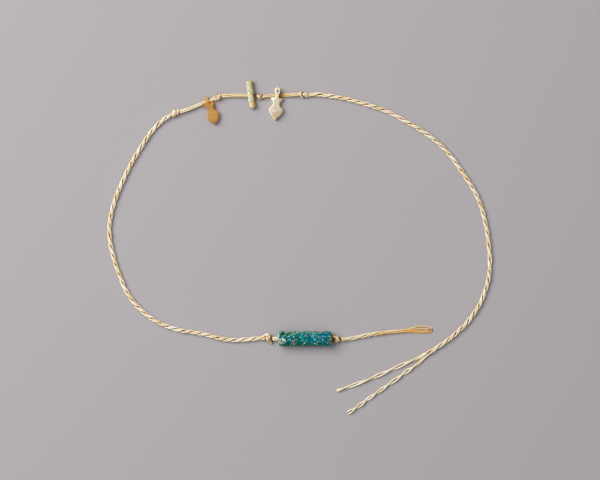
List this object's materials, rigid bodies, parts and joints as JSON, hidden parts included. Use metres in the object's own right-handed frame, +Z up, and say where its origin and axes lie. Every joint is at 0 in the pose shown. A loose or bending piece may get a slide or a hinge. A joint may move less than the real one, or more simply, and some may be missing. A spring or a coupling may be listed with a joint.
{
  "type": "amulet necklace",
  "caption": "Open necklace of twisted linen cord with a long faience bead, two nefer-shaped amulets and a column-shaped bar, laid flat with its tails and closing loop untied.",
  "frame": {"origin": "middle of the whole necklace's footprint, on the surface that it lies on", "axes": "+Z up from the surface, through the neck opening; +Y towards the amulets at the top; +X to the right as the amulets are seen"},
  "size_m": [0.1615, 0.1401, 0.0064],
  "materials": {
    "linen": "matte twisted yarn",
    "stained_linen": "matte twisted yarn, stained orange-brown",
    "faience": "rough granular glaze",
    "orange_stone": "polished, waxy",
    "white_stone": "polished, waxy",
    "green_glaze": "worn satin glaze"
  },
  "bodies": {
    "root": {"crumb_bead": "faience", "orange_nefer": "orange_stone", "white_nefer": "white_stone", "green_bar": "green_glaze", "bead_cord": "linen", "bead_knot_left": "linen", "bead_knot_right": "stained_linen", "tie_cord": "stained_linen", "closing_loop": "stained_linen", "left_cord": "linen", "knot_1": "linen", "top_cord_1": "linen", "knot_2": "linen", "top_cord_2": "linen", "knot_3": "stained_linen", "top_cord_3": "linen", "knot_4": "linen", "right_cord": "linen", "tail_upper": "linen", "tail_lower": "linen"}
  },
  "joints": []
}
